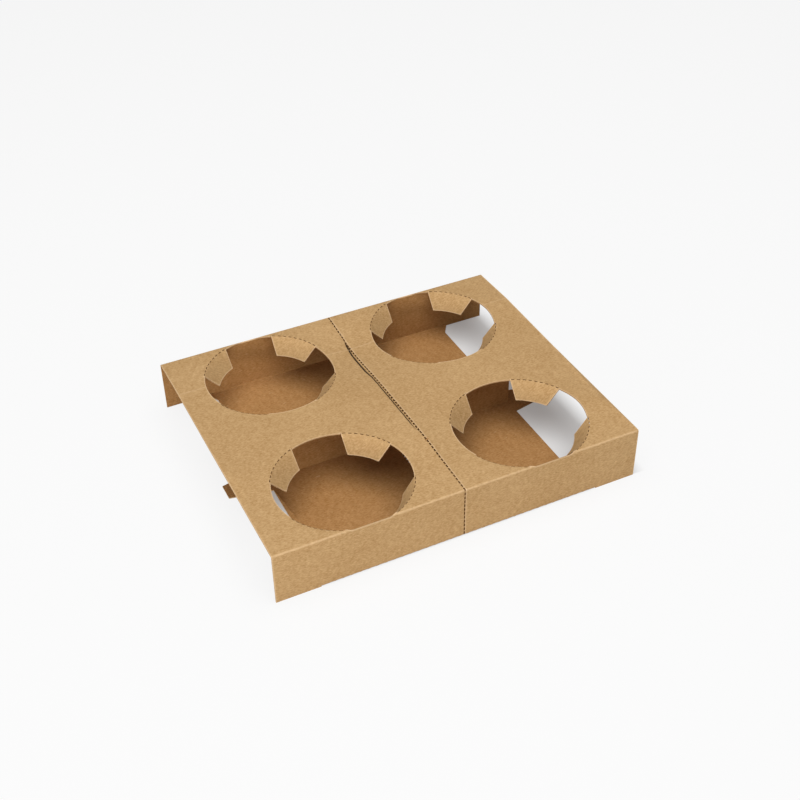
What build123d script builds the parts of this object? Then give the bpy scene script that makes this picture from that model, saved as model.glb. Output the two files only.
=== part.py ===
from build123d import *
from math import atan2, cos, degrees, radians, sin, tan
import os

os.makedirs("parts", exist_ok=True)

# The carrier is one sheet of kraft board, die-cut, folded and glued. X runs along the front
# fold from left to right, Y runs from the front to the back, and Z is up. The origin is on
# the surface that the carrier stands on, under the middle of the carrier.

# Board
board = 0.8
fold_radius = 1.2                     # outer radius of a folded corner
glue_press = 0.04                     # how far two glued layers are pressed into each other

# Outside sizes of the folded carrier
width = 240.0
depth = 199.0
height = 36.0

# Packing crease across the top: behind it the top falls slightly towards the back fold
crease_from_back = 37.5
back_drop = 1.2
crease_radius = 25.0

# Floor: its two halves meet under the middle and turn up there into a double partition
floor_inset = 34.0                    # the floor starts this far in from each end
floor_fold_inset = 28.0               # and flares out to here where it folds off a wall
floor_flare = 8.0                     # length of the flare along Y
partition_gap = 0.3                   # between the partition's cut edge and the top
tongue_tip_inset = 6.0
tongue_tip_width = 12.0
tongue_root_width = 23.0

# Cup holes, two by two
hole_radius = 43.0
column_pitch = 119.0
row_pitch = 116.0
front_row_to_fold = 40.5

# Four tabs a hole, bent down along the circle
tab_angle = 45.0                      # part of the circle that one tab takes up
tab_tip_angle = 40.0                  # and what its tip takes up, before it is bent
tab_length = 13.0
tab_bend = 50.0

# Tear line: a row of cuts from front to back that lets the carrier be torn into two halves
tear_pitch = 3.1
tear_cut = 2.0
tear_width = 0.5
tear_start = 2.4                      # first cut on each side of the partition
wall_tear_count = 11

# Worked out from the sizes above
half_width = width / 2
front = -depth / 2
back = depth / 2
top_middle = height - board / 2       # height of the board's middle layer in the top
partition_top = height - board - partition_gap
centre_radius = fold_radius - board / 2
crease_y = back - crease_from_back
front_row_y = front + front_row_to_fold
back_row_y = front_row_y + row_pitch
floor_half_length = half_width - floor_inset
fold_half_length = half_width - floor_fold_inset
tongue_tip_x = half_width - tongue_tip_inset
bent_inner_radius = hole_radius - tab_length * cos(radians(tab_bend))
half_tear_count = int((back - fold_radius - tear_start - tear_cut / 2) / tear_pitch) + 1
back_slope = degrees(atan2(back_drop, crease_from_back - board / 2))
back_strip_lift = (crease_y - back_row_y) * tan(radians(back_slope))


def tab_outline():
    """Plan of one bent tab, pointing along X from its hole's axis.

    The flat tab narrows towards its tip. Bent down, it keeps its true width, while its tip
    stays further from the axis than before. Both ends run past the tab itself.
    """
    half = radians(tab_angle / 2)
    inner_half = radians(tab_tip_angle / 2) * (hole_radius - tab_length) / bent_inner_radius
    fold_corner = Vector(hole_radius * cos(half), hole_radius * sin(half))
    inner_corner = bent_inner_radius * Vector(cos(inner_half), sin(inner_half))
    end = inner_corner + (inner_corner - fold_corner).normalized() * 2 * board
    beyond = fold_corner * ((hole_radius + 4 * board) / hole_radius)
    one_side = [(end.X, end.Y), (fold_corner.X, fold_corner.Y), (beyond.X, beyond.Y)]
    other_side = [(x, -y) for x, y in reversed(one_side)]
    return one_side + other_side


# The two rear tabs of a hole, about the hole's axis, with the top's middle layer at height 0
with BuildPart() as tab_pair:
    with BuildSketch(Plane.XZ):
        with BuildLine():
            FilletPolyline(
                (hole_radius + board / 4, 0),
                (hole_radius - centre_radius * tan(radians(tab_bend / 2)), 0),
                (bent_inner_radius, -tab_length * sin(radians(tab_bend))),
                radius=centre_radius,
            )
        trace(line_width=board)
    revolve(axis=Axis.Z)
    with BuildSketch(Plane.XY.offset(-tab_length)):
        with PolarLocations(0, 2, start_angle=45, angular_range=180, rotate=True):
            Polygon(*tab_outline(), align=None)
    extrude(amount=2 * tab_length, mode=Mode.INTERSECT)


def board_loop(bottom):
    """Outer corners of the folded loop, seen from the end, with its floor at the given height."""
    return [
        (front, bottom),
        (front, height),
        (crease_y, height),
        (back, height - back_drop),
        (back, bottom),
    ]


loop_radii = [fold_radius, fold_radius, crease_radius, fold_radius, fold_radius]

# Under the partition the two folds of the floor leave a groove
with BuildSketch(Plane.YZ) as groove:
    Rectangle(2 * fold_radius, fold_radius, align=(Align.CENTER, Align.MIN))
    with GridLocations(2 * (fold_radius - glue_press), 0, 2, 1):
        with Locations((0, fold_radius)):
            Circle(fold_radius, mode=Mode.SUBTRACT)


with BuildPart() as carrier:
    # The whole loop of the board, as long as the folds between the walls and the floor
    with BuildSketch(Plane.YZ.offset(-fold_half_length)) as loop_section:
        with BuildLine():
            FilletPolyline(*board_loop(0), radius=loop_radii, close=True)
        make_face()
        offset(amount=-board, mode=Mode.SUBTRACT)
        Rectangle(2 * (board - glue_press), partition_top, align=(Align.CENTER, Align.MIN))
        foot_corners = loop_section.vertices().sort_by_distance((0, board))[:2]
        fillet(foot_corners, radius=fold_radius - board)
        add(groove.sketch_local, mode=Mode.SUBTRACT)
    extrude(amount=2 * fold_half_length)

    # Both ends, where only the top and the two walls go on
    for end in (-half_width, fold_half_length):
        with BuildSketch(Plane.YZ.offset(end)):
            with BuildLine():
                FilletPolyline(*board_loop(-height), radius=loop_radii, close=True)
            make_face()
            offset(amount=-board, mode=Mode.SUBTRACT)
            Rectangle(depth, 2 * height, align=(Align.CENTER, Align.MAX), mode=Mode.SUBTRACT)
        extrude(amount=floor_fold_inset)

    # The floor's end edges: cut in along a flare beside each wall, straight between them
    with BuildSketch():
        with PolarLocations(0, 2):
            Polygon(
                (fold_half_length, front + fold_radius),
                (half_width, front + fold_radius),
                (half_width, back - fold_radius),
                (fold_half_length, back - fold_radius),
                (floor_half_length, back - fold_radius - floor_flare),
                (floor_half_length, front + fold_radius + floor_flare),
                align=None,
            )
    extrude(amount=height / 2, mode=Mode.SUBTRACT)

    # The partition ends where the floor does
    with BuildSketch():
        with GridLocations(floor_half_length + fold_half_length, 0, 2, 1):
            Rectangle(fold_half_length - floor_half_length, 2 * board)
    extrude(amount=partition_top + partition_gap / 2, mode=Mode.SUBTRACT)

    # The tapered tongue that runs on past the floor at each end of the partition
    with BuildSketch():
        with PolarLocations(0, 2):
            Polygon(
                (floor_half_length - board, -tongue_root_width / 2),
                (floor_half_length, -tongue_root_width / 2),
                (tongue_tip_x, -tongue_tip_width / 2),
                (tongue_tip_x, tongue_tip_width / 2),
                (floor_half_length, tongue_root_width / 2),
                (floor_half_length - board, tongue_root_width / 2),
                align=None,
            )
    extrude(amount=board)

    # The cup holes: round, but clipped straight where they meet the folds at front and back
    with BuildSketch(Plane.XY.offset(height / 2)):
        with Locations((0, (front_row_y + back_row_y) / 2)):
            with GridLocations(column_pitch, row_pitch, 2, 2):
                Circle(hole_radius)
        Rectangle(width, depth - 2 * board, mode=Mode.INTERSECT)
    extrude(amount=height, mode=Mode.SUBTRACT)

    # The tabs. The rear pair of the back row hangs from the strip that falls to the back.
    for column_x in (-column_pitch / 2, column_pitch / 2):
        with Locations(
            Location((column_x, front_row_y, top_middle)),
            Location((column_x, front_row_y, top_middle), (0, 0, 180)),
            Location((column_x, back_row_y, top_middle), (0, 0, 180)),
            Location((column_x, back_row_y, top_middle + back_strip_lift), (-back_slope, 0, 0)),
        ):
            add(tab_pair.part)

    # The tear line, through the top and the floor, and then through the walls and the partition
    with BuildSketch():
        for cut in range(half_tear_count):
            with GridLocations(0, 2 * (tear_start + cut * tear_pitch), 1, 2):
                Rectangle(tear_width, tear_cut)
    extrude(amount=height, mode=Mode.SUBTRACT)
    with BuildSketch(Plane.XZ):
        with Locations((0, height / 2)):
            with GridLocations(0, tear_pitch, 1, wall_tear_count):
                Rectangle(tear_width, tear_cut)
    extrude(amount=depth / 2, both=True, mode=Mode.SUBTRACT)


carrier.part.label = "carrier"
export_step(carrier.part, "parts/carrier.step")
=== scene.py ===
from math import radians

import bpy
import numpy as np
from mathutils import Euler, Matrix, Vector
from mathutils.geometry import delaunay_2d_cdt


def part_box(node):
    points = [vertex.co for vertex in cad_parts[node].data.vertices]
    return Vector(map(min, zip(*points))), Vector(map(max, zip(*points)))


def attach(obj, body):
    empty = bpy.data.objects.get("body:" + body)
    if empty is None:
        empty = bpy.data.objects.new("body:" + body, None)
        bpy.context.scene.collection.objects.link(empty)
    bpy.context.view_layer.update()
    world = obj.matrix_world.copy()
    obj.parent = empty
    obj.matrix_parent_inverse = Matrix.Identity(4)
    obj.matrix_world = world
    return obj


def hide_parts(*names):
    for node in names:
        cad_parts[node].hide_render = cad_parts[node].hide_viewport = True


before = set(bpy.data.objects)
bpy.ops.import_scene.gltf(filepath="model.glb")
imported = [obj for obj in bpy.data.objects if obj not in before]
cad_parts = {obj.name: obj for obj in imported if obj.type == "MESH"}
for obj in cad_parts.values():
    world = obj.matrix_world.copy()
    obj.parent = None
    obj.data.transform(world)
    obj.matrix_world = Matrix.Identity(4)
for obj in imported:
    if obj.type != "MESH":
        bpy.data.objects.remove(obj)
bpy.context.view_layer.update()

mm = 0.001

# Folded loop of the board. The carrier is one sheet of unbleached kraft board. It runs from the
# partition along the floor, up the front wall, across the top, down the back wall and back along
# the floor to the partition, where both ends of the sheet are glued together.
carrier_low, carrier_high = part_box("carrier")
half_width = carrier_high.x
front = carrier_low.y
back = carrier_high.y
top = carrier_high.z
board = 0.8 * mm
bend = 0.8 * mm
back_drop = 0.3 * mm
crease_y = back - 37.5 * mm
crease_bend = 24.6 * mm
glue = 0.01 * mm
partition_top = top - board - 0.3 * mm
layer_y = board / 2 + glue

fold_corners = np.array([
    (-layer_y, partition_top),
    (-layer_y, board / 2),
    (front + board / 2, board / 2),
    (front + board / 2, top - board / 2),
    (crease_y, top - board / 2),
    (back - board / 2, top - back_drop - board / 2),
    (back - board / 2, board / 2),
    (layer_y, board / 2),
    (layer_y, partition_top),
])
fold_bends = np.array([bend, bend, bend, crease_bend, bend, bend, bend])


def loop_stations(corners, bends):
    """Stations along the loop where it starts and stops turning, and its heading at each.

    A run between two corners gives up the bend's radius times the tangent of half the turn at
    each end, and the bend between two runs is the radius times the turn.
    """
    steps = np.diff(corners, axis=0)
    headings = np.unwrap(np.arctan2(steps[:, 1], steps[:, 0]))
    turns = np.abs(np.diff(headings))
    setback = np.concatenate(([0], bends * np.tan(turns / 2), [0]))
    runs = np.hypot(steps[:, 0], steps[:, 1]) - setback[:-1] - setback[1:]
    lengths = np.zeros(2 * len(runs) - 1)
    lengths[0::2] = runs
    lengths[1::2] = bends * turns
    return np.concatenate(([0], np.cumsum(lengths))), np.repeat(headings, 2)


stations, headings = loop_stations(fold_corners, fold_bends)
sheet_length = stations[-1]
folds = stations[1:-1].reshape(-1, 2)
front_seam, front_foot, front_fold, crease, back_fold, back_foot, back_seam = folds

path_steps = 40000
path_s = np.linspace(0, sheet_length, path_steps + 1)
path_heading = np.interp((path_s[1:] + path_s[:-1]) / 2, stations, headings)
path_y = fold_corners[0, 0] + np.concatenate(([0], np.cumsum(np.cos(path_heading)))) * path_s[1]
path_z = fold_corners[0, 1] + np.concatenate(([0], np.cumsum(np.sin(path_heading)))) * path_s[1]


# Blank. The sheet is die-cut before it is folded: the four cup holes with their tabs, the cut-back
# floor ends with their tongues, the tear line that parts the carrier into two halves, and the
# nicks that help the tabs and the floor to fold.
hole_radius = 43 * mm
gap_radius = 42 * mm
column_x = 59.5 * mm
front_row = 40.5 * mm
row_pitch = 116 * mm
tab_half_angle = radians(22.5)
tip_half_angle = radians(20)
tab_length = 13.5 * mm
floor_half_length = half_width - 33.2 * mm
fold_half_length = half_width - 28 * mm
floor_flare = 8 * mm
tongue_tip = half_width - 6 * mm
tongue_tip_half = 6 * mm
tongue_root_half = 11.5 * mm
slit = 0.2 * mm
gap_start = tab_half_angle + slit / hole_radius

top_start = front_fold[1]
row_s = top_start - (bend + board / 2) + front_row + np.array([0, row_pitch])
hole_centres = [(x, s) for s in row_s for x in (-column_x, column_x)]
hole_limits = front_fold @ (0.85, 0.15), back_fold @ (0.15, 0.85)
tab_centres = radians(45) + np.arange(4) * radians(90)
tab_corner = hole_radius * np.array([np.cos(tab_half_angle), np.sin(tab_half_angle)])
tip_corner = (hole_radius - tab_length) * np.array([np.cos(tip_half_angle), np.sin(tip_half_angle)])
tab_side = tab_corner - tip_corner
tab_side_normal = np.array([-tab_side[1], tab_side[0]]) / np.hypot(*tab_side)

front_reach = -(front + board / 2 + bend)
middle_s = front_seam[1] - bend - layer_y
free_edge = front_foot[1] - bend - board / 2
tongue_edge = middle_s + 2 * glue
tongue_slope = (tongue_root_half - tongue_tip_half) / (tongue_tip - floor_half_length)

tear_pitch = 3.1 * mm
tear_cut = 2.1 * mm
tear_width = 0.9 * mm
nick_count = 9
nick_share = 0.56
nick_radii = hole_radius - 0.1 * mm, hole_radius - 0.45 * mm
nick_pitch = 2 * tab_half_angle / nick_count
foot_pitch = 5.4 * mm
foot_cut = 3.9 * mm
foot_slit = front_foot[0] + 0.25 * mm, front_foot[1] - 0.2 * mm


def in_cut(place, pitch, cut):
    """True where a place falls in the cut part of a row of cuts that is centred on zero."""
    return np.abs((place + pitch / 2) % pitch - pitch / 2) < cut / 2


def around_hole(x, s, centre):
    """Distance from a hole's axis, and the angle from the middle of the nearest tab."""
    dx, ds = x - centre[0], s - centre[1]
    return np.hypot(dx, ds), np.arctan2(ds, dx) % radians(90) - radians(45)


def inside_tab_side(r, angle):
    """How far a place lies inside the straight side of a tab, along the side's normal."""
    across = r * np.sin(np.abs(angle)) - tab_corner[1]
    along = r * np.cos(angle) - tab_corner[0]
    return -(along * tab_side_normal[0] + across * tab_side_normal[1])


def in_slits(x, s):
    """True in the narrow cuts: the tear line's, the tabs' nicks, and the front wall's foot."""
    cut = (np.abs(x) < tear_width / 2) & in_cut(s - top_start, tear_pitch, tear_cut)
    foot = in_cut(x, foot_pitch, foot_cut) & (np.abs(x) < fold_half_length - foot_cut)
    cut |= foot & (s > foot_slit[0]) & (s < foot_slit[1])
    for centre in hole_centres:
        r, angle = around_hole(x, s, centre)
        nick = in_cut(angle, nick_pitch, nick_share * nick_pitch) & (np.abs(angle) < tab_half_angle)
        cut |= nick & (r < nick_radii[0]) & (r > nick_radii[1])
    return cut


def on_board(x, s):
    """True where the blank has board.

    Distances from the nearer end of the sheet, t, and from its centre line, |x|, give the outline.
    A hole takes away what is closer to its centre than its radius, apart from its four tabs, and
    each row of cuts takes away its own narrow band.
    """
    t = np.minimum(s, sheet_length - s)
    width = np.abs(x)
    flare = np.clip((t - middle_s - front_reach + floor_flare) / floor_flare, 0, 1)
    floor_end = floor_half_length + flare * (fold_half_length - floor_half_length)
    tongue_side = middle_s + tongue_root_half - (width - floor_half_length) * tongue_slope
    tongue = (width > floor_half_length + slit) & (width < tongue_tip) & (t > tongue_edge)
    tongue |= (width > floor_half_length - slit) & (width < tongue_tip) & (t > front_seam[1])
    board_here = (t < front_foot[1]) & (width < floor_end)
    board_here |= tongue & (t < tongue_side)
    board_here |= (t > free_edge) & (width > fold_half_length + slit)
    board_here |= t > front_foot[1]
    inside_top = (s > hole_limits[0]) & (s < hole_limits[1])
    for centre in hole_centres:
        r, angle = around_hole(x, s, centre)
        tab = (inside_tab_side(r, angle) > 0) & (r > hole_radius - tab_length)
        lip = (r > gap_radius) & (np.abs(angle) > gap_start)
        board_here &= ~((r < hole_radius) & inside_top & ~tab & ~lip)
    return board_here & ~in_slits(x, s)


def mirrored(line):
    """A line of the front right quarter of the blank, and its three mirror images."""
    x, s = np.array(line, float).T
    return [np.c_[sx * x, s if front_half else sheet_length - s] for sx in (1, -1)
            for front_half in (True, False)]


def rows_of_slits(x0, x1, s0, s1):
    """Outlines of narrow cuts, one closed line for each set of limits, as an array of them."""
    x = np.stack([x0, x1, x1, x0, x0], axis=-1)
    s = np.stack([s0, s0, s1, s1, s0], axis=-1)
    return list(np.stack([x, s], axis=-1))


def around(centre, radius, angle):
    """Points of the blank at a distance and an angle from a hole's axis."""
    return np.stack([centre[0] + radius * np.cos(angle), centre[1] + radius * np.sin(angle)], axis=-1)


outline = [
    (floor_half_length, 0),
    (floor_half_length, front_seam[1]),
    (floor_half_length + slit, front_seam[1]),
    (floor_half_length + slit, tongue_edge),
    (tongue_tip, tongue_edge),
    (tongue_tip, middle_s + tongue_tip_half),
    (floor_half_length, middle_s + tongue_root_half),
    (floor_half_length, middle_s + front_reach - floor_flare),
    (fold_half_length, middle_s + front_reach),
    (fold_half_length, front_foot[1]),
    (fold_half_length + slit, front_foot[1]),
    (fold_half_length + slit, free_edge),
    (half_width, free_edge),
    (half_width, sheet_length / 2),
]
cut_lines = mirrored(outline)
cut_lines += [np.array([(-floor_half_length, s), (floor_half_length, s)]) for s in (0, sheet_length)]

curl = 0.8 * mm
tab_depth = np.concatenate((np.linspace(0, curl, 5), np.linspace(curl, tab_length, 7)[1:]))
tab_share = tab_depth[:, None] / tab_length
tab_sides = tab_corner * (1 - tab_share) + tip_corner * tab_share
side_radius = np.hypot(*tab_sides.T)
side_angle = np.arctan2(tab_sides[:, 1], tab_sides[:, 0])
across_tab = np.linspace(-1, 1, 25)
gap_end = radians(90) - gap_start
gap_angle = np.concatenate((
    [tab_half_angle, gap_start],
    np.linspace(gap_start, gap_end, 33),
    [gap_end, radians(90) - tab_half_angle],
))
gap_reach = np.full_like(gap_angle, gap_radius)
gap_reach[[0, 1, -2, -1]] = hole_radius
for centre in hole_centres:
    for middle in tab_centres:
        cut_lines += [around(centre, r, middle + a * across_tab) for r, a in zip(side_radius, side_angle)]
        cut_lines += [around(centre, side_radius, middle + side * side_angle) for side in (-1, 1)]
        gap = around(centre, gap_reach, middle + gap_angle)
        gap[:, 1] = np.clip(gap[:, 1], *hole_limits)
        cut_lines.append(gap)
        start = middle + (np.arange(nick_count) - nick_count / 2 + 0.5 - nick_share / 2) * nick_pitch
        corner = np.stack([start, start + nick_share * nick_pitch], axis=-1)[:, [0, 1, 1, 0, 0]]
        cut_lines += list(around(centre, np.array(nick_radii)[[0, 0, 1, 1, 0]], corner))

tear_middles = top_start + tear_pitch * np.arange(
    np.ceil(-top_start / tear_pitch + 0.5), np.floor((sheet_length - top_start) / tear_pitch - 0.5) + 1)
tear_side = np.full_like(tear_middles, tear_width / 2)
cut_lines += rows_of_slits(-tear_side, tear_side, tear_middles - tear_cut / 2, tear_middles + tear_cut / 2)

foot_middles = foot_pitch * np.arange(-30, 31)
foot_middles = foot_middles[np.abs(foot_middles) < fold_half_length - foot_cut - foot_cut / 2]
foot_inner, foot_outer = (np.full_like(foot_middles, s) for s in foot_slit)
cut_lines += rows_of_slits(foot_middles - foot_cut / 2, foot_middles + foot_cut / 2, foot_inner, foot_outer)

fold_x = np.linspace(-half_width, half_width, 81)
for fold, rows in zip(folds, (6, 6, 7, 3, 7, 6, 6)):
    cut_lines += [np.c_[fold_x, np.full_like(fold_x, s)] for s in np.linspace(*fold, rows)]


# Board. The blank is covered with a net of triangles between its cut lines, and each point of it
# goes to its place on the folded loop. Two skins, one board thickness apart, and the cut edges
# between them close it. Kraft board never lies quite flat, so the panels bow a little.
net_pitch = 3 * mm
fine_pitch = 0.35 * mm
tab_bends = radians(50) + np.radians([(7, -3, 3, 7), (-2, 1, 5, 2), (2, -1, 1, -1), (0, 2, -2, 1)])


def folded(x, s):
    """Place of a point of the blank on the loop's middle layer, by its stations.

    The place is read off the path, which is the running sum of the cosine and sine of the
    heading. At the cut-back ends, where the sheet isn't folded, it goes on straight.
    """
    t = np.minimum(s, sheet_length - s)
    width = np.abs(x)
    start = np.where(width > floor_half_length + slit / 2, front_seam[1], 0)
    free = (width > fold_half_length + slit / 2) & (t > front_foot[0] - slit)
    start = np.where(free, front_foot[1], start)
    held = np.clip(s, start, sheet_length - start)
    heading = np.interp(held, stations, headings)
    y = np.interp(held, path_s, path_y) + (s - held) * np.cos(heading)
    z = np.interp(held, path_s, path_z) + (s - held) * np.sin(heading)
    return np.stack([x, y, z], axis=-1), heading


def bent_tabs(x, s):
    """Moves the points of the tabs on the blank, and gives their depth under it.

    At a distance d inside the hole's circle the tab has turned through d over the bend's radius,
    up to its full bend, so its reach and depth are the sums of the cosine and sine of that turn.
    Its angle about the hole shrinks as its reach grows, so that it keeps its width.
    """
    depth = np.zeros_like(x)
    for (centre_x, centre_s), bends in zip(hole_centres, tab_bends):
        dx, ds = x - centre_x, s - centre_s
        r = np.hypot(dx, ds)
        angle = np.arctan2(ds, dx) % radians(360)
        which = np.clip((angle // radians(90)).astype(int), 0, 3)
        off_middle = np.abs(angle - tab_centres[which])
        inside = (r < hole_radius) & (off_middle < tab_half_angle + slit / hole_radius / 2)
        turn = bends[which]
        d = np.clip(hole_radius - r, 0, None)
        curved = np.minimum(d, bend * turn)
        straight = d - curved
        reach = hole_radius - bend * np.sin(curved / bend) - straight * np.cos(turn)
        drop = bend * (1 - np.cos(curved / bend)) + straight * np.sin(turn)
        bent_angle = tab_centres[which] + (angle - tab_centres[which]) * r / reach
        x = np.where(inside, centre_x + reach * np.cos(bent_angle), x)
        s = np.where(inside, centre_s + reach * np.sin(bent_angle), s)
        depth = np.where(inside, drop, depth)
    return x, s, depth


def hump(place, middle, spread):
    """A smooth rise from zero to one and back, the bell curve of the distance over the spread."""
    return np.exp(-((place - middle) / spread) ** 2)


def wrinkle_x(y):
    """How far left of the tear line the board is crushed, read along two long shallow bows."""
    turning_y = np.array([-42, -36, 25, 33, 55, 70]) * mm
    offset = np.array([0, -1.3, -1.3, -2.0, -1.8, -0.4]) * mm
    return np.interp(y, turning_y, offset)


def crushed(x, y):
    """How deeply the board is crushed, from 0 to 1, a bell curve across it that is stronger at the back. It
    sets both the shallow groove and the darkness of its painted shadow.
    """
    strength = np.interp(y, np.array([-46, -30, 0, 66, 73]) * mm, [0, 0.8, 1, 1, 0])
    width = np.interp(y, np.array([22, 32]) * mm, [0.6 * mm, 0.8 * mm])
    return strength * hump(x, wrinkle_x(y), width)


def bowed(place):
    """Lets the folded loop bow a little, by sums of bell curves and slow waves.

    The top sags between the back holes, stands up along the tear line at the front, and arches
    at its free ends. The walls bulge by tenths of a millimetre, and one corner of the floor lifts.
    """
    x, y, z = place.T
    lift = np.clip(z / top, 0, 1)
    on_top = np.clip((lift - 0.35) / 0.3, 0, 1)
    inside = np.clip((y - front) / (12 * mm), 0, 1) * np.clip((back - y) / (12 * mm), 0, 1)
    sag = np.where(y > 58 * mm, hump(y, 58 * mm, 25 * mm), hump(y, 58 * mm, 33 * mm))
    dz = on_top * inside * (
        2.0 * mm * hump(y, -62 * mm, 20 * mm) * hump(x, half_width, 34 * mm)
        + 1.3 * mm * hump(y, 62 * mm, 16 * mm) * hump(x, half_width, 30 * mm)
        + 0.6 * mm * hump(y, -30 * mm, 16 * mm) * hump(x, -half_width, 30 * mm)
        + 1.5 * mm * np.exp(-np.abs(x) / (12 * mm)) * hump(y, -45 * mm, 32 * mm)
        - 3.6 * mm * sag * hump(x, 1 * mm, 32 * mm)
        - 0.7 * mm * crushed(x, y)
    )
    on_floor = z < 2 * mm
    dz = dz + on_floor * 2.4 * mm * hump(x, -floor_half_length, 22 * mm) * hump(y, -52 * mm, 15 * mm)
    bulge = 4 * lift * (1 - lift) * 0.35 * mm * np.sin(x / (31 * mm) + y / (60 * mm)) * np.sign(y)
    dy = bulge * (np.abs(y) > back / 2)
    at_end = np.clip(np.abs(x) / half_width, 0, 1) ** 4
    dx = at_end * on_top * inside * 0.4 * mm * np.sin(y / (17 * mm)) * np.sign(x)
    return place + np.stack([dx, dy, dz], axis=-1)


def on_carrier(x, s):
    """Place of a point of the blank in the finished carrier's middle layer."""
    x, s, depth = bent_tabs(x, s)
    place, heading = folded(x, s)
    outward = np.stack([np.zeros_like(x), -np.sin(heading), np.cos(heading)], axis=-1)
    return bowed(place - depth[:, None] * outward)


def outward(x, s):
    """Unit normals of the middle layer: across its steps over a small distance each way."""
    step = 0.001 * mm
    along_x = on_carrier(x + step, s) - on_carrier(x - step, s)
    along_s = on_carrier(x, s + step) - on_carrier(x, s - step)
    normal = np.cross(along_x, along_s)
    return normal / np.linalg.norm(normal, axis=1, keepdims=True)


def from_cut(x, s):
    """Distance on the top and the walls from the nearest cut edge, of a hole, a tab or an end.

    On a tab it is the smaller of the distances to its sides and its tip. Outside the circle it
    is the distance to the circle, or beside a tab's fold to the tab's nearer corner.
    """
    nearest = half_width - np.abs(x)
    s_on_top = np.clip(s, *hole_limits)
    for centre in hole_centres:
        r, angle = around_hole(x, s_on_top, centre)
        beyond = np.clip(tab_half_angle - np.abs(angle), 0, None) * hole_radius
        in_tab = (r < hole_radius) & (np.abs(angle) < gap_start)
        on_tab = np.minimum(inside_tab_side(r, angle), r - hole_radius + tab_length)
        off_gap = np.hypot(np.clip(r - gap_radius, 0, None), beyond)
        off_edge = np.where(in_tab, np.clip(on_tab, 0, None), off_gap)
        nearest = np.minimum(nearest, np.hypot(off_edge, s - s_on_top))
    return nearest


net_x, net_s = np.meshgrid(np.arange(-39, 40) * net_pitch,
                           np.arange(1, int(sheet_length / net_pitch)) * net_pitch)
fine_x, fine_s = np.meshgrid(np.arange(-11, 0) * fine_pitch,
                             np.arange(front_fold[1], back_fold[0], 4 * fine_pitch))
loose = np.r_[np.c_[net_x.ravel(), net_s.ravel()], np.c_[fine_x.ravel(), fine_s.ravel()]]
loose = loose[on_board(*loose.T)]

starts = np.cumsum([0] + [len(line) for line in cut_lines])
links = [np.stack([np.arange(a, b - 1), np.arange(a + 1, b)], axis=-1) for a, b in zip(starts, starts[1:])]
blank_points = np.concatenate(cut_lines + [loose])
net = delaunay_2d_cdt((blank_points / mm).tolist(), np.concatenate(links).tolist(), [], 0, 0.002, False)
blank = np.array(net[0]) * mm
triangles = np.array(net[2])
corner_points = blank[triangles]
sides = corner_points[:, 1:] - corner_points[:, :1]
area = sides[:, 0, 0] * sides[:, 1, 1] - sides[:, 0, 1] * sides[:, 1, 0]
triangles[area < 0] = triangles[area < 0][:, ::-1]
keep = on_board(*corner_points.mean(axis=1).T) & (np.abs(area) > 1e-12)
used, triangles = np.unique(triangles[keep], return_inverse=True)
triangles = triangles.reshape(-1, 3)
blank = blank[used]

middle_layer = on_carrier(*blank.T)
half_board = outward(*blank.T) * board / 2
count = len(blank)
edges = np.concatenate([triangles[:, [0, 1]], triangles[:, [1, 2]], triangles[:, [2, 0]]])
edge_keys = edges[:, 0].astype(np.int64) * count + edges[:, 1]
back_keys = edges[:, 1].astype(np.int64) * count + edges[:, 0]
rim = edges[~np.isin(edge_keys, back_keys)]
rim_faces = np.c_[rim[:, 1], rim[:, 0], rim[:, 0] + count, rim[:, 1] + count]
faces = triangles.tolist() + (triangles[:, ::-1] + count).tolist() + rim_faces.tolist()

mesh = bpy.data.meshes.new("kraft_carrier")
mesh.from_pydata(np.r_[middle_layer + half_board, middle_layer - half_board].tolist(), [], faces)
mesh.validate()
rim_middle = (blank[rim[:, 0]] + blank[rim[:, 1]]) / 2
rim_step = blank[rim[:, 1]] - blank[rim[:, 0]]
off_board = rim_step[:, ::-1] * (1, -1) / np.hypot(*rim_step.T)[:, None]
is_slit = in_slits(*(rim_middle + 0.02 * mm * off_board).T)
skin = np.zeros(2 * len(triangles))
mesh.attributes.new("cut_edge", "FLOAT", "FACE").data.foreach_set("value", np.r_[skin, ~is_slit])
mesh.attributes.new("slit_wall", "FLOAT", "FACE").data.foreach_set("value", np.r_[skin, is_slit])
corner_vertex = np.empty(len(mesh.loops), int)
mesh.loops.foreach_get("vertex_index", corner_vertex)
blank_uv = np.r_[blank, blank + (0.5, 0)][corner_vertex]
mesh.uv_layers.new(name="blank").data.foreach_set("uv", blank_uv.ravel())
on_level_top = (blank[:, 1] > front_fold[1]) & (blank[:, 1] < back_fold[0])
crush_shadow = crushed(blank[:, 0], middle_layer[:, 1]) * on_level_top
mesh.attributes.new("crush_shadow", "FLOAT", "POINT").data.foreach_set("value", np.r_[crush_shadow, 0 * crush_shadow])
off_cut = from_cut(*blank.T) / mm
mesh.attributes.new("off_cut", "FLOAT", "POINT").data.foreach_set("value", np.r_[off_cut, off_cut + 9])
mesh.shade_smooth()
mesh.set_sharp_from_angle(angle=radians(38))
carrier = bpy.data.objects.new("kraft_carrier", mesh)
bpy.context.scene.collection.objects.link(carrier)

kraft = bpy.data.materials.new("kraft_board")
kraft.use_nodes = True
nodes, wires = kraft.node_tree.nodes, kraft.node_tree.links
shader = nodes["Principled BSDF"]
shader.inputs["Roughness"].default_value = 0.82
shader.inputs["Specular IOR Level"].default_value = 0.2

on_blank = nodes.new("ShaderNodeUVMap")
on_blank.uv_map = "blank"


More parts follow.
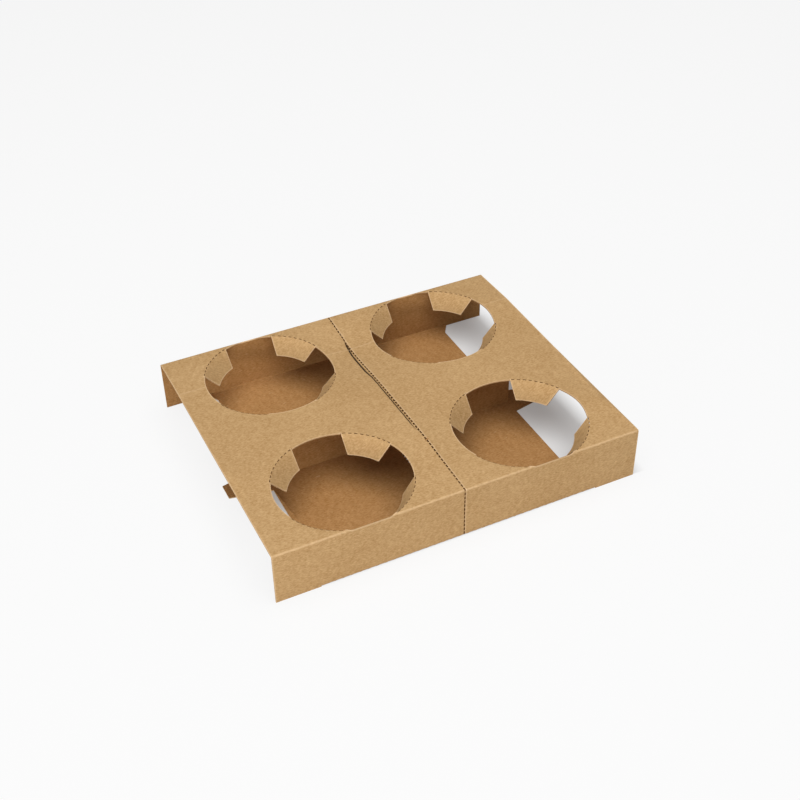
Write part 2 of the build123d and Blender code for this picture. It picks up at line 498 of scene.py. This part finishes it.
def pulp(scale, detail, stretch=(1, 1, 1), turn=0.0):
    """Noise on the blank, scale cells per metre, stretched along the board's grain."""
    mapping = nodes.new("ShaderNodeMapping")
    mapping.inputs["Scale"].default_value = stretch
    mapping.inputs["Rotation"].default_value = (0, 0, turn)
    wires.new(on_blank.outputs["UV"], mapping.inputs["Vector"])
    noise = nodes.new("ShaderNodeTexNoise")
    noise.inputs["Scale"].default_value = scale
    noise.inputs["Detail"].default_value = detail
    noise.inputs["Roughness"].default_value = 0.6
    wires.new(mapping.outputs["Vector"], noise.inputs["Vector"])
    return noise.outputs["Fac"]


def spread(value, low, high, to_low, to_high):
    """Maps low..high onto to_low..to_high, and stops at both ends."""
    step = nodes.new("ShaderNodeMapRange")
    for name, number in zip(("From Min", "From Max", "To Min", "To Max"), (low, high, to_low, to_high)):
        step.inputs[name].default_value = number
    wires.new(value, step.inputs["Value"])
    return step.outputs["Result"]


def combined(operation, *values):
    """The values added up or multiplied together."""
    total = values[0]
    for value in values[1:]:
        step = nodes.new("ShaderNodeMath")
        step.operation = operation
        wires.new(total, step.inputs[0])
        wires.new(value, step.inputs[1])
        total = step.outputs[0]
    return total


def dyed(colour_in, dye, amount):
    """The colour so far, mixed with another by an amount from 0 to 1."""
    mix = nodes.new("ShaderNodeMix")
    mix.data_type = "RGBA"
    for name, colour in (("A", colour_in), ("B", dye)):
        if isinstance(colour, tuple):
            mix.inputs[name].default_value = (*colour, 1)
        else:
            wires.new(colour, mix.inputs[name])
    wires.new(amount, mix.inputs["Factor"])
    return mix.outputs["Result"]


def painted(name):
    """One of the mesh's own attributes."""
    attribute = nodes.new("ShaderNodeAttribute")
    attribute.attribute_name = name
    return attribute.outputs["Fac"]


kraft_light = (0.60, 0.39, 0.188)
kraft_dark = (0.40, 0.23, 0.089)
# Darker, browner copies of the kraft colours for the inner face of the board: painted shade for the inside
# of the carrier.
shaded_inner_light = (0.49, 0.268, 0.106)
shaded_inner_dark = (0.32, 0.150, 0.043)
kraft_fleck = (0.24, 0.12, 0.04)
kraft_pale = (0.74, 0.53, 0.32)
# Near black: painted shadow in the crushed groove beside the tear line.
painted_crush_shadow = (0.03, 0.015, 0.006)
# Dark brown: painted shade on the walls of the narrow cuts.
painted_slit_shade = (0.18, 0.09, 0.03)
split_uv = nodes.new("ShaderNodeSeparateXYZ")
wires.new(on_blank.outputs["UV"], split_uv.inputs["Vector"])
clouds = spread(pulp(24, 2), 0.3, 0.7, 0.0, 0.20)
mottle = spread(pulp(300, 3, (1, 0.7, 1)), 0.3, 0.7, 0.0, 0.40)
fibres = spread(pulp(1150, 3, (0.45, 1, 1), 0.3), 0.3, 0.7, -0.15, 0.65)
grain = combined("ADD", clouds, mottle, fibres)
# Painted shade: the inner skin, whose blank is moved half a unit along u, takes the darker copies.
shaded_inner_face = spread(split_uv.outputs["X"], 0.2, 0.3, 0.0, 1.0)
colour = dyed(dyed(kraft_light, kraft_dark, grain), dyed(shaded_inner_light, shaded_inner_dark, grain), shaded_inner_face)
colour = dyed(colour, kraft_fleck, spread(pulp(640, 2), 0.66, 0.74, 0.0, 0.5))
colour = dyed(colour, kraft_pale, spread(pulp(900, 2, (0.25, 1, 1), 0.8), 0.66, 0.76, 0.0, 0.35))

off_cut_edge = painted("off_cut")
away_from_cut = spread(off_cut_edge, 0.4, 1.2, 0.0, 1.0)
worn_folds = []
for axis, place, wear in (
    ("Y", front_fold.mean(), 0.35),
    ("Y", crease.mean(), 0.3),
    ("Y", back_fold.mean(), 0.3),
    ("X", tear_width / 2 + 0.4 * mm, 0.35),
):
    off = nodes.new("ShaderNodeMath")
    off.operation = "SUBTRACT"
    wires.new(split_uv.outputs[axis], off.inputs[0])
    off.inputs[1].default_value = place
    away = nodes.new("ShaderNodeMath")
    away.operation = "ABSOLUTE"
    wires.new(off.outputs[0], away.inputs[0])
    worn_folds.append(spread(away.outputs[0], 0.15 * mm, 0.6 * mm, wear, 0.0))
colour = dyed(colour, kraft_pale, combined("MULTIPLY", combined("ADD", *worn_folds), away_from_cut))

colour = dyed(colour, kraft_pale, spread(off_cut_edge, 0.2, 0.75, 0.55, 0.0))
colour = dyed(colour, kraft_pale, spread(painted("cut_edge"), 0, 1, 0.0, 0.25))
# The crushed line beside the tear line is dyed near black: a painted shadow of its shallow groove.
colour = dyed(colour, painted_crush_shadow, spread(painted("crush_shadow"), 0.2, 0.65, 0.0, 1.0))
# The walls of the tear line's, the nicks' and the foot's slits are dyed dark: painted shade inside the
# narrow cuts.
colour = dyed(colour, painted_slit_shade, spread(painted("slit_wall"), 0, 1, 0.0, 0.9))
wires.new(colour, shader.inputs["Base Color"])

relief = nodes.new("ShaderNodeBump")
relief.inputs["Strength"].default_value = 0.3
relief.inputs["Distance"].default_value = 0.1 * mm
wires.new(combined("ADD", mottle, fibres), relief.inputs["Height"])
wires.new(relief.outputs["Normal"], shader.inputs["Normal"])
mesh.materials.append(kraft)

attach(carrier, "root")
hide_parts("carrier")


# Table. A plain white studio surface. The camera sees it almost pure white round the carrier, with
# a trace of its shade, and as it really is lit underneath it.
table_half = 3.0
table_z = -0.05 * mm
table_mesh = bpy.data.meshes.new("table")
table_corners = [(-table_half, -table_half, table_z), (table_half, -table_half, table_z),
                 (table_half, table_half, table_z), (-table_half, table_half, table_z)]
table_mesh.from_pydata(table_corners, [], [(0, 1, 2, 3)])
table = bpy.data.objects.new("table", table_mesh)
bpy.context.scene.collection.objects.link(table)
white = bpy.data.materials.new("studio_white")
white.use_nodes = True
tree = white.node_tree
surface = tree.nodes["Principled BSDF"]
surface.inputs["Base Color"].default_value = (0.7, 0.7, 0.7, 1)
surface.inputs["Roughness"].default_value = 0.9
surface.inputs["Specular IOR Level"].default_value = 0.1
paper_glow = tree.nodes.new("ShaderNodeEmission")
paper_glow.inputs["Strength"].default_value = 1.0


def measured(operation, *values):
    """One step of arithmetic in the table's material, on numbers or on other steps."""
    step = tree.nodes.new("ShaderNodeMath")
    step.operation = operation
    for socket, value in zip(step.inputs, values):
        if isinstance(value, (int, float)):
            socket.default_value = value
        else:
            tree.links.new(value, socket)
    return step.outputs[0]


on_table = tree.nodes.new("ShaderNodeTexCoord")
table_xy = tree.nodes.new("ShaderNodeSeparateXYZ")
tree.links.new(on_table.outputs["Object"], table_xy.inputs["Vector"])
seen_share = 0.2
for axis, start, end in (
    ("X", 26 * mm - half_width, 12 * mm - half_width),
    ("X", half_width - 8 * mm, half_width + 10 * mm),
    ("Y", front + 1.5 * mm, front),
    ("Y", back + 4 * mm, back + 16 * mm),
):
    clear = tree.nodes.new("ShaderNodeMapRange")
    clear.inputs["From Min"].default_value = start
    clear.inputs["From Max"].default_value = end
    clear.inputs["To Max"].default_value = 0.85
    tree.links.new(table_xy.outputs[axis], clear.inputs["Value"])
    seen_share = measured("MAXIMUM", clear.outputs["Result"], seen_share)
table_rays = tree.nodes.new("ShaderNodeLightPath")
seen_share = measured("MULTIPLY", table_rays.outputs["Is Camera Ray"], seen_share)
as_seen = tree.nodes.new("ShaderNodeMixShader")
tree.links.new(seen_share, as_seen.inputs[0])
tree.links.new(surface.outputs[0], as_seen.inputs[1])
tree.links.new(paper_glow.outputs[0], as_seen.inputs[2])
tree.links.new(as_seen.outputs[0], tree.nodes["Material Output"].inputs["Surface"])
table_mesh.materials.append(white)


# Light. A dim even surround, a broad soft lamp overhead, and a long low one in front that lights
# the front wall without reaching into the holes.
world = bpy.data.worlds.new("studio")
bpy.context.scene.world = world
world.use_nodes = True
air = world.node_tree
surround = air.nodes["Background"]
surround.inputs["Color"].default_value = (1, 1, 1, 1)
surround.inputs["Strength"].default_value = 0.22
seen = air.nodes.new("ShaderNodeBackground")
seen.inputs["Strength"].default_value = 1.0
rays = air.nodes.new("ShaderNodeLightPath")
choose = air.nodes.new("ShaderNodeMixShader")
air.links.new(rays.outputs["Is Camera Ray"], choose.inputs[0])
air.links.new(surround.outputs[0], choose.inputs[1])
air.links.new(seen.outputs[0], choose.inputs[2])
air.links.new(choose.outputs[0], air.nodes["World Output"].inputs["Surface"])

for name, power, length, width, distance, azimuth, height in (
    ("overhead", 15.8, 1.35, 1.35, 1.2, -20, 80),
    ("low_left", 8, 1.4, 0.2, 1.2, -45, 8),
):
    lamp = bpy.data.lights.new(name, "AREA")
    lamp.shape = "RECTANGLE"
    lamp.energy = power
    lamp.size = length
    lamp.size_y = width
    holder = bpy.data.objects.new(name, lamp)
    bpy.context.scene.collection.objects.link(holder)
    holder.rotation_euler = (radians(90 - height), 0, radians(azimuth))
    holder.location = Euler(holder.rotation_euler).to_matrix() @ Vector((0, 0, distance))


# Camera. It stands in front of the carrier, to the left, and looks down at it at 38 degrees, so
# that the top with its four holes and the front wall both show.
camera_data = bpy.data.cameras.new("camera")
camera_data.lens = 56.55
camera_data.sensor_width = 36
camera = bpy.data.objects.new("camera", camera_data)
bpy.context.scene.collection.objects.link(camera)
camera.location = (-264.66 * mm, -568.84 * mm, 524.84 * mm)
look_down = Euler((radians(90 - 38.128), 0, radians(-25.499))).to_matrix()
roll = Euler((0, 0, radians(-0.962))).to_matrix()
camera.rotation_euler = (look_down @ roll).to_euler()
bpy.context.scene.camera = camera
bpy.context.scene.view_settings.view_transform = "Standard"
